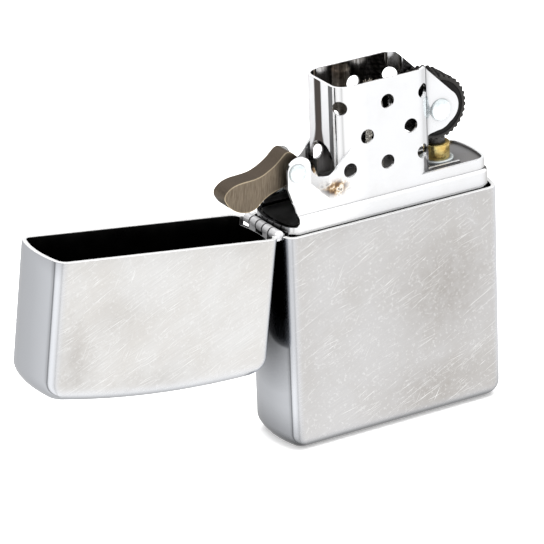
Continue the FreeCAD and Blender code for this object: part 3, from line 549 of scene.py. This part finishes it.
MATERIALS = {
    "case": case_metal("case_chrome", tone=(0.600, 0.592, 0.590),
                       warm=(0.545, 0.530, 0.515), wear=CASE_WEAR),
    "lid": case_metal("lid_chrome", tone=(0.600, 0.592, 0.582),
                      warm=(0.505, 0.475, 0.440), wear=LID_WEAR),
    "inside": dark_inside("painted_shade_inside"),
    "insert": steel("insert_steel", base=(0.80, 0.805, 0.82), rough=0.09,
                    stain=(0.70, 0.69, 0.675), stain_amount=0.35, ao_reach=0.003,
                    ao_power=0.7, shades=insert_shades, lift=insert_lift),
    "plate": steel("plate_steel", base=(0.86, 0.85, 0.86), rough=0.28,
                   stain=(0.62, 0.56, 0.48), stain_amount=0.5, brushed=0.4,
                   ao_reach=0.003, shades=plate_shades),
    "hinge": steel("hinge_steel", base=(0.95, 0.95, 0.97), rough=0.18,
                   stain=(0.62, 0.61, 0.60), stain_amount=0.5, stain_scale=600,
                   ao_reach=0.0015, shades=hinge_shades, lift=hinge_lift),
    "rivet": steel("rivet_steel", base=(0.74, 0.80, 0.815), rough=0.25,
                   stain=(0.62, 0.68, 0.70), stain_amount=0.5, stain_scale=900,
                   bump=0.12, ao_reach=0.0006, ao_power=1.6, lift=rivet_lift),
    "cam": cam_metal("cam_bronze"),
    "wheel": wheel_metal("wheel_steel"),
    "brass": brass("tube_brass"),
    "flint": flint_metal("flint_grey"),
    "spring": steel("spring_steel", base=(0.50, 0.50, 0.51), rough=0.18,
                    stain=(0.35, 0.33, 0.30), stain_amount=0.4, stain_scale=500),
    "wick": fibre("wick_cotton", pale=(0.88, 0.85, 0.78), deep=(0.62, 0.58, 0.50),
                  scale=5000, bump=0.8, charred=True),
    "wire": steel("copper_wire", base=(0.85, 0.48, 0.30), rough=0.22,
                  stain=(0.5, 0.25, 0.15), stain_amount=0.5, stain_scale=1500),
    "cotton": fibre("packing_cotton", pale=(0.93, 0.92, 0.89), deep=(0.74, 0.72, 0.68),
                    scale=1800, bump=0.9),
    "felt": fibre("felt_wool", pale=(0.84, 0.81, 0.75), deep=(0.60, 0.57, 0.52),
                  scale=3200, bump=0.9),
}
# material: the CAD pieces that wear it
CAD_PIECES = {
    "hinge": "hinge_leaf_case hinge_leaf_lid hinge_pin",
    "case": "case_bottom",
    "lid": "lid_shell",
    "insert": "insert_shell",
    "plate": "insert_top_plate",
    "brass": "flint_tube flint_spring_tip flint_screw",
    "rivet": "flint_tube_washer wheel_rivet cam_rivet cam_spring_rivet",
    "flint": "flint",
    "spring": "flint_spring cam_spring",
    "wheel": "flint_wheel",
    "cam": "cam",
    "wick": "wick",
    "wire": "wick_wire",
    "cotton": "cotton_lower cotton_middle cotton_upper",
    "felt": "felt_pad",
}
for material, pieces in CAD_PIECES.items():
    for piece in pieces.split():
        NODES[piece].data.materials.clear()
        NODES[piece].data.materials.append(MATERIALS[material])


# -------------------------------------------------------------- mesh helpers
def add_object(name, data):
    obj = bpy.data.objects.new(name, data)
    bpy.context.scene.collection.objects.link(obj)
    return obj


def shade_smooth(mesh, sharp_angle):
    mesh.polygons.foreach_set("use_smooth", [True] * len(mesh.polygons))
    mesh.set_sharp_from_angle(angle=math.radians(sharp_angle))


def make(name, verts, faces, materials, material_index=None, sharp_angle=35):
    """A cleaned, smooth-shaded object from points in mm."""
    mesh = bpy.data.meshes.new(name)
    mesh.from_pydata([tuple(float(c) * MM for c in vert) for vert in verts], [], faces)
    for material in materials:
        mesh.materials.append(material)
    if material_index is not None:
        mesh.polygons.foreach_set("material_index", material_index)
    bm = bmesh.new()
    bm.from_mesh(mesh)
    bmesh.ops.remove_doubles(bm, verts=bm.verts, dist=2e-7)
    bmesh.ops.dissolve_degenerate(bm, dist=1e-7, edges=bm.edges)
    bmesh.ops.recalc_face_normals(bm, faces=bm.faces)
    bm.to_mesh(mesh)
    bm.free()
    shade_smooth(mesh, sharp_angle)
    mesh.update()
    return add_object(name, mesh)


def skin(rings):
    """Points, and quads between neighbouring rings of equal count."""
    count = len(rings[0])
    faces = []
    for i in range(len(rings) - 1):
        a, b = i * count, (i + 1) * count
        for k in range(count):
            after = (k + 1) % count
            faces.append((a + k, a + after, b + after, b + k))
    return np.concatenate(rings), faces


def tell(obj, rides, replaces):
    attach(obj, rides)
    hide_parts(replaces)


# ------------------------------------------------------------- case and lid
def outline(inset, corner, notched=False):
    """Points round the bulged outline, anticlockwise, always the same count.
    A notched one has points on both ends of the hinge notch."""
    depth = HALF_DEPTH - inset
    radius = END_RADIUS - inset
    bulge_x = HALF_WIDTH - END_RADIUS
    corner_y = depth - corner
    corner_x = bulge_x + math.sqrt((radius - corner) ** 2 - corner_y ** 2)
    meet = math.atan2(corner_y, corner_x - bulge_x)  # where corner and bulge join
    meet_y = radius * math.sin(meet)
    straight_steps, corner_steps, bulge_steps = 14, 9, 18
    points = []

    def arc(x, y, r, start, end, steps):
        for k in range(steps):
            t = start + (end - start) * k / steps
            points.append((x + r * math.cos(t), y + r * math.sin(t)))

    def straight(side):
        for k in range(straight_steps):
            x = corner_x - 2 * corner_x * k / straight_steps
            points.append((side * x, side * depth))

    straight(-1)
    arc(corner_x, -corner_y, corner, -math.pi / 2, -meet, corner_steps)
    arc(bulge_x, 0, radius, -meet, meet, bulge_steps)
    arc(corner_x, corner_y, corner, meet, math.pi / 2, corner_steps)
    straight(1)
    arc(-corner_x, corner_y, corner, math.pi / 2, math.pi - meet, corner_steps)
    if notched:
        inner = np.linspace(HINGE_NOTCH, -HINGE_NOTCH, 17)
        ys = [meet_y, HINGE_NOTCH + 0.012, *inner, -HINGE_NOTCH - 0.012]
    else:
        ys = [meet_y * q for q in (1, 0.93, *np.linspace(0.925, -0.925, 17), -0.93)]
    for y in ys:
        points.append((-bulge_x - math.sqrt(radius * radius - y * y), y))
    arc(-corner_x, -corner_y, corner, math.pi + meet, 1.5 * math.pi, corner_steps)
    return np.array(points)


def level(points, z):
    """A ring from an outline; z is one height or one per point."""
    return np.column_stack([points, np.broadcast_to(z, len(points))])


def collapse(points, z):
    """Rings that close a cap onto its centre line."""
    return [level(points * (1, t), z) for t in np.linspace(1, 0, 6)[1:]]


def rim_height(points, notch, rim):
    in_notch = (np.abs(points[:, 1]) <= HINGE_NOTCH + 1e-6) & (points[:, 0] < 0)
    return np.where(in_notch, notch, rim)


def arch(points):
    """Height of the lid's crowned top."""
    return LID_TOP - LID_CROWN * (points[:, 0] / HALF_WIDTH) ** 2


# rounded rim, from the outside in: inset, distance back from the rim's edge
RIM_PROFILE = [(0, 0.14), (0.02, 0.05), (0.09, 0.0),
               (WALL - 0.09, 0.0), (WALL - 0.02, 0.05), (WALL, 0.14)]


def build_case():
    """From the middle of the base, up the outside, over the rim and down the inside."""
    fillet, corner, base_corner = 2.6, 1.85, 1.0
    inner_fillet = fillet - WALL
    rings = collapse(outline(fillet, base_corner), 0.0)[::-1]
    for t in np.linspace(0, math.pi / 2, 9):
        inset = fillet * (1 - math.sin(t))
        radius = corner - (corner - base_corner) * (inset / fillet) ** 1.2
        rings.append(level(outline(inset, radius), fillet * (1 - math.cos(t))))
    for z in (8, 16, 24, 31):
        rings.append(level(outline(0, corner, notched=True), z))
    for inset, drop in RIM_PROFILE:
        points = outline(inset, corner - inset * 0.999, notched=True)
        rings.append(level(points, rim_height(points, HINGE_Z - NOTCH_DROP, CASE_RIM) - drop))
    first_inside = len(rings)
    for z in (30, 20, 10, fillet):
        rings.append(level(outline(WALL, corner - WALL, notched=True), z))
    for t in np.linspace(math.pi / 2, 0, 5):
        inset = WALL + inner_fillet * (1 - math.sin(t))
        points = outline(inset, max(0.5, 1.1 - 0.3 * (inset - WALL)))
        rings.append(level(points, WALL + inner_fillet * (1 - math.cos(t))))
    rings += collapse(outline(fillet, 0.5), WALL)
    verts, faces = skin(rings)
    inside = [int(face[0] // len(rings[0]) >= first_inside) for face in faces]
    return make("case_skin", verts, faces, [MATERIALS["case"], MATERIALS["inside"]], inside)


def build_lid():
    """From the inside of the top, down the inner wall, round the rim, up and over the
    outside; made closed, then swung open about the hinge."""
    fillet, corner, top_corner = 3.0, 1.95, 1.2
    inner_fillet, inner_corner = fillet - WALL, corner - WALL
    top = outline(fillet, top_corner)
    rings = collapse(top, arch(top) - WALL)[::-1]
    for t in np.linspace(math.pi / 2, 0, 7):
        inset = WALL + inner_fillet * (1 - math.cos(t))
        share = (inset - WALL) / inner_fillet
        points = outline(inset, max(0.6, inner_corner - (inner_corner - top_corner) * share))
        rings.append(level(points, arch(points) - WALL - inner_fillet * (1 - math.sin(t))))
    for z in (50, 45, 40, 37):
        rings.append(level(outline(WALL, inner_corner, notched=True), z))
    first_outside = len(rings)
    for inset, lift in reversed(RIM_PROFILE):
        points = outline(inset, corner - inset, notched=True)
        rings.append(level(points, rim_height(points, HINGE_Z + NOTCH_DROP, LID_RIM) + lift))
    for z in (38, 42, 47, 51):
        rings.append(level(outline(0, corner, notched=True), z))
    for t in np.linspace(0, math.pi / 2, 10):
        inset = fillet * (1 - math.cos(t))
        points = outline(inset, corner - (corner - top_corner) * (inset / fillet) ** 1.2)
        rings.append(level(points, arch(points) - fillet * (1 - math.sin(t))))
    rings += collapse(top, arch(top))
    verts, faces = skin(rings)
    inside = [int(face[0] // len(rings[0]) < first_outside) for face in faces]
    cos, sin = math.cos(-math.radians(LID_ANGLE)), math.sin(-math.radians(LID_ANGLE))
    x, z = verts[:, 0] - HINGE_X, verts[:, 2] - HINGE_Z
    verts = np.column_stack([HINGE_X + cos * x + sin * z, verts[:, 1],
                             HINGE_Z - sin * x + cos * z])
    return make("lid_skin", verts, faces, [MATERIALS["lid"], MATERIALS["inside"]], inside)


tell(build_case(), "case", "case_bottom")
tell(build_lid(), "lid", "lid_shell")


# ------------------------------------------------------------------- wheel
def build_wheel():
    """A drum along y, cross-cut with two crossing sets of slanted grooves."""
    centre_x, centre_z, radius, half_length, bore = 9.9, 47.62, 5.08, 2.85, 1.06
    around, along = 360, 44
    grooves, slant = 34, 2.2        # slant: groove pitches shifted over the length
    groove_depth, land = 0.34, 0.35  # land: uncut share of the wave
    edge_width, edge_drop, edge_fade = 0.3, 0.22, 0.4
    # end face from the rim to the bore: radius, inset along y
    face_profile = [(4.3, 0.0), (4.15, 0.12), (2.6, 0.12), (2.45, -0.05),
                    (bore + 0.1, -0.05), (bore, 0.02)]
    ys = np.linspace(-half_length, half_length, along)
    angles = np.linspace(0, 2 * math.pi, around, endpoint=False)
    angle_grid, y_grid = np.meshgrid(angles, ys)

    def ring(r, y):
        return np.column_stack([centre_x + r * np.cos(angles), np.full(around, y),
                                centre_z + r * np.sin(angles)])

    def groove(direction):
        phase = grooves * angle_grid
        phase = phase + direction * slant * 2 * math.pi * y_grid / (2 * half_length)
        wave = np.abs(((phase / (2 * math.pi)) % 1.0) - 0.5) * 2
        return np.clip((wave - land) / (1 - land), 0, 1)

    depth = groove_depth * np.maximum(groove(1), groove(-1))
    edge = np.clip((np.abs(y_grid) - (half_length - edge_width)) / edge_width, 0, 1)
    radii = radius - depth * (1 - edge_fade * edge) - edge_drop * edge ** 2
    front = [ring(r, -half_length + inset) for r, inset in face_profile]
    back = [ring(r, half_length - inset) for r, inset in face_profile]
    tread = [ring(r, y) for r, y in zip(radii, ys)]
    # the last ring repeats the first, which lines the bore
    verts, faces = skin(front[::-1] + tread + back + [front[-1]])
    return make("wheel_knurled", verts, faces, [MATERIALS["wheel"]], sharp_angle=28)


tell(build_wheel(), "wheel", "flint_wheel")


# -------------------------------------------------------------------- wick
rng = np.random.default_rng(7)
WICK_X, WICK_RADIUS = 0.5, 1.28
WICK_BOTTOM, WICK_TOP = 14.0, 52.3


def build_wick():
    """A braided cord with a slightly flared, uneven top."""
    around, along = 48, 420
    strands, twist, braid_depth = 3, 2.4, 0.10  # twist in radians per mm
    flare_height, flare = 1.2, 0.05
    angles = np.linspace(0, 2 * math.pi, around, endpoint=False)

    def ring(r, z):
        return np.column_stack([WICK_X + r * np.cos(angles), r * np.sin(angles), z])

    rings = [ring(0.0, np.full(around, WICK_BOTTOM))]
    for z in np.linspace(WICK_BOTTOM, WICK_TOP, along):
        one_way = np.abs(np.sin(strands * angles + z * twist))
        other_way = np.abs(np.sin(strands * angles - z * twist))
        bulge = braid_depth * np.maximum(one_way, other_way) - braid_depth
        top = max(0.0, (z - (WICK_TOP - flare_height)) / flare_height)
        r = (WICK_RADIUS + bulge) * (1 + flare * top) + rng.normal(0, 0.012, around)
        rings.append(ring(r, z + 0.1 * top * rng.normal(0, 1, around)))
    for q in (0.75, 0.5, 0.25, 0.0):
        # the draw is made for the centre too, which stays level
        jitter = 0.06 * (q > 0) * rng.normal(0, 1, around)
        rings.append(ring(q * WICK_RADIUS, WICK_TOP + 0.12 * (1 - q) + jitter))
    verts, faces = skin(rings)
    return make("wick_braid", verts, faces, [MATERIALS["wick"]], sharp_angle=60)


def build_frayed_end():
    """Loose fibres standing out of the wick's top."""
    count, spread, radius = 130, 1.15, 0.045
    root, bend = WICK_TOP - 0.4, WICK_TOP - 0.1
    curve = bpy.data.curves.new("wick_frayed_end", "CURVE")
    curve.dimensions = "3D"
    curve.bevel_depth = radius * MM
    curve.bevel_resolution = 1
    for _ in range(count):
        angle = rng.uniform(0, 2 * math.pi)
        out = math.sqrt(rng.uniform(0, 1)) * spread
        x, y = WICK_X + out * math.cos(angle), out * math.sin(angle)
        height = rng.uniform(0.35, 1.0)
        dx, dy = rng.normal(0, 0.18, 2)
        fibre_points = [(x, y, root),
                        (x + dx * 0.4, y + dy * 0.4, bend + height * 0.4),
                        (x + dx, y + dy, bend + height)]
        spline = curve.splines.new("POLY")
        spline.points.add(len(fibre_points) - 1)
        for point, place in zip(spline.points, fibre_points):
            point.co = (*(c * MM for c in place), 1)
    curve.materials.append(MATERIALS["wick"])
    return add_object("wick_frayed_end", curve)


tell(build_wick(), "insert", "wick")
frayed_end = build_frayed_end()
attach(frayed_end, "insert")


# -------------------------------------------------------- packing and spring
def twin(node, name, material):
    """A new object with the same mesh as a CAD piece, its split edges joined."""
    source = NODES[node]
    mesh = source.data.copy()
    mesh.name = name
    mesh.materials.clear()
    mesh.materials.append(material)
    bm = bmesh.new()
    bm.from_mesh(mesh)
    bmesh.ops.remove_doubles(bm, verts=bm.verts, dist=2e-7)
    bm.to_mesh(mesh)
    bm.free()
    obj = add_object(name, mesh)
    obj.matrix_world = source.matrix_world.copy()
    return obj


def soft_piece(name, node, material):
    """A packed soft pad: fine even mesh, its skin sunk unevenly like pressed fibre."""
    voxel, sink, tuft_size = 0.36, 0.22, 1.3
    obj = twin(node, name, material)
    remesh = obj.modifiers.new("even", "REMESH")
    remesh.mode = "VOXEL"
    remesh.voxel_size = voxel * MM
    remesh.use_smooth_shade = True
    texture = bpy.data.textures.new(name + "_tufts", "CLOUDS")
    texture.noise_scale = tuft_size * MM
    texture.noise_depth = 3
    displace = obj.modifiers.new("tufts", "DISPLACE")
    displace.texture = texture
    displace.texture_coords = "LOCAL"
    displace.strength = -sink * MM
    displace.mid_level = 0.0
    depsgraph = bpy.context.evaluated_depsgraph_get()
    mesh = bpy.data.meshes.new_from_object(obj.evaluated_get(depsgraph))
    obj.modifiers.clear()
    obj.data = mesh
    mesh.materials.clear()
    mesh.materials.append(material)
    return obj


# name, CAD piece, material, slot
for name, node, material, slot in (
        ("felt_pad_soft", "felt_pad", "felt", "felt"),
        ("cotton_wad_lower", "cotton_lower", "cotton", "packing_cotton"),
        ("cotton_wad_middle", "cotton_middle", "cotton", "packing_cotton"),
        ("cotton_wad_upper", "cotton_upper", "cotton", "packing_cotton")):
    tell(soft_piece(name, node, MATERIALS[material]), "insert", node)

# the flint spring, which shortens as the flint is pressed back, gets its own smooth-shaded copy
# of the mesh
coil = twin("flint_spring", "flint_spring_coil", MATERIALS["spring"])
shade_smooth(coil.data, sharp_angle=40)
tell(coil, "insert", "flint_spring")
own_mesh(coil)

# small rounded edges on the CAD pieces that stay: piece, width in mm
for piece, width in (("cam", 0.12), ("insert_shell", 0.06), ("insert_top_plate", 0.05),
                     ("hinge_leaf_case", 0.06), ("hinge_leaf_lid", 0.06),
                     ("flint_screw", 0.06), ("cam_spring", 0.03), ("hinge_pin", 0.08)):
    bevel = NODES[piece].modifiers.new("soft_edge", "BEVEL")
    bevel.width = width * MM
    bevel.segments = 2
    bevel.limit_method = "ANGLE"
    bevel.angle_limit = math.radians(50)
    bevel.harden_normals = True


# --------------------------------------------------- surroundings and floor
# brightness round the horizon: degrees from +x, anticlockwise from above
AROUND = [(-180, 1.0), (-160, 1.1), (-140, 1.0), (-128, 0.75), (-118, 1.1), (-95, 1.15),
          (-60, 1.25), (-25, 1.15), (0, 1.0), (30, 0.8), (60, 0.52), (80, 0.6),
          (100, 0.55), (125, 0.60), (150, 0.72), (165, 0.22), (176, 0.95)]
# brightness by height: 0 straight down, 0.5 the horizon, 1 straight up
UPWARD = [(0.0, 1.0), (0.42, 1.0), (0.52, 0.7), (0.60, 0.30), (0.72, 0.35), (0.80, 0.9),
          (1.0, 1.1)]


def build_world():
    world = bpy.data.worlds.new("studio")
    bpy.context.scene.world = world
    world.use_nodes = True
    sky = Graph(world.node_tree)

    def brightness(value, limit, stops):
        share = sky.value("MapRange", 0, {"Value": value, "From Min": -limit,
                                          "From Max": limit})
        return sky.ramp(share, stops)

    x, y, z = sky.parts(sky.value("TexCoord", "Generated"))
    around = brightness(sky.math("ARCTAN2", y, x), math.pi,
                        [((degrees + 180) / 360, level) for degrees, level in AROUND])
    upward = brightness(z, 1, UPWARD)
    background = world.node_tree.nodes["Background"]
    sky.feed(background.inputs["Color"], sky.mix(1.0, around, upward, "MULTIPLY"))
    background.inputs["Strength"].default_value = 1.0


def build_floor():
    mat = Material("studio_floor")
    cloud = mat.noise(20, detail=2.0)
    mat.set(Base_Color=mat.mix(cloud, (0.93, 0.93, 0.93), (0.95, 0.95, 0.95)),
            Roughness=0.9, Specular_IOR_Level=0.0, Emission_Color=WHITE,
            Emission_Strength=0.35)
    half, z = 3000.0, -0.02
    corners = [(-half, -half, z), (half, -half, z), (half, half, z), (-half, half, z)]
    floor = make("studio_floor", corners, [(0, 1, 2, 3)], [mat.material])
    floor.visible_glossy = False


build_world()
build_floor()


# --------------------------------------------------------- lights and camera
def area_light(name, place, size, power):
    """A soft light aimed at the case, unseen in reflections; lengths in mm."""
    target = Vector((0, 0, 25))
    light = bpy.data.lights.new(name, "AREA")
    light.shape = "RECTANGLE"
    light.size, light.size_y = size[0] * MM, size[1] * MM
    light.energy = power
    obj = bpy.data.objects.new(name, light)
    obj.location = Vector(place) * MM
    obj.rotation_mode = "QUATERNION"
    obj.rotation_quaternion = (target - Vector(place)).to_track_quat("-Z", "Y")
    bpy.context.scene.collection.objects.link(obj)
    obj.visible_glossy = False


area_light("key_top", place=(0, 0, 600), size=(700, 700), power=7.0)
area_light("left_soft", place=(-500, -250, 250), size=(300, 400), power=1.6)


def build_camera():
    lens = bpy.data.cameras.new("view_camera")
    camera = add_object("view_camera", lens)
    right = Vector((0.85962, -0.50970, -0.03563))
    up = Vector((0.22700, 0.31853, 0.92034))
    # square the three axes up with each other
    back = right.cross(up).normalized()
    up = back.cross(right).normalized()
    right.normalize()
    pose = Matrix((right, up, back)).transposed().to_4x4()
    pose.translation = Vector((-0.31332, -0.51605, 0.27862))
    camera.matrix_world = pose
    lens.sensor_width = 36
    lens.lens = 290.18
    lens.clip_start, lens.clip_end = 0.01, 20
    bpy.context.scene.camera = camera


build_camera()
view = bpy.context.scene.view_settings
view.view_transform = "Standard"
view.look = "None"
view.exposure = 0.0
view.gamma = 1.0
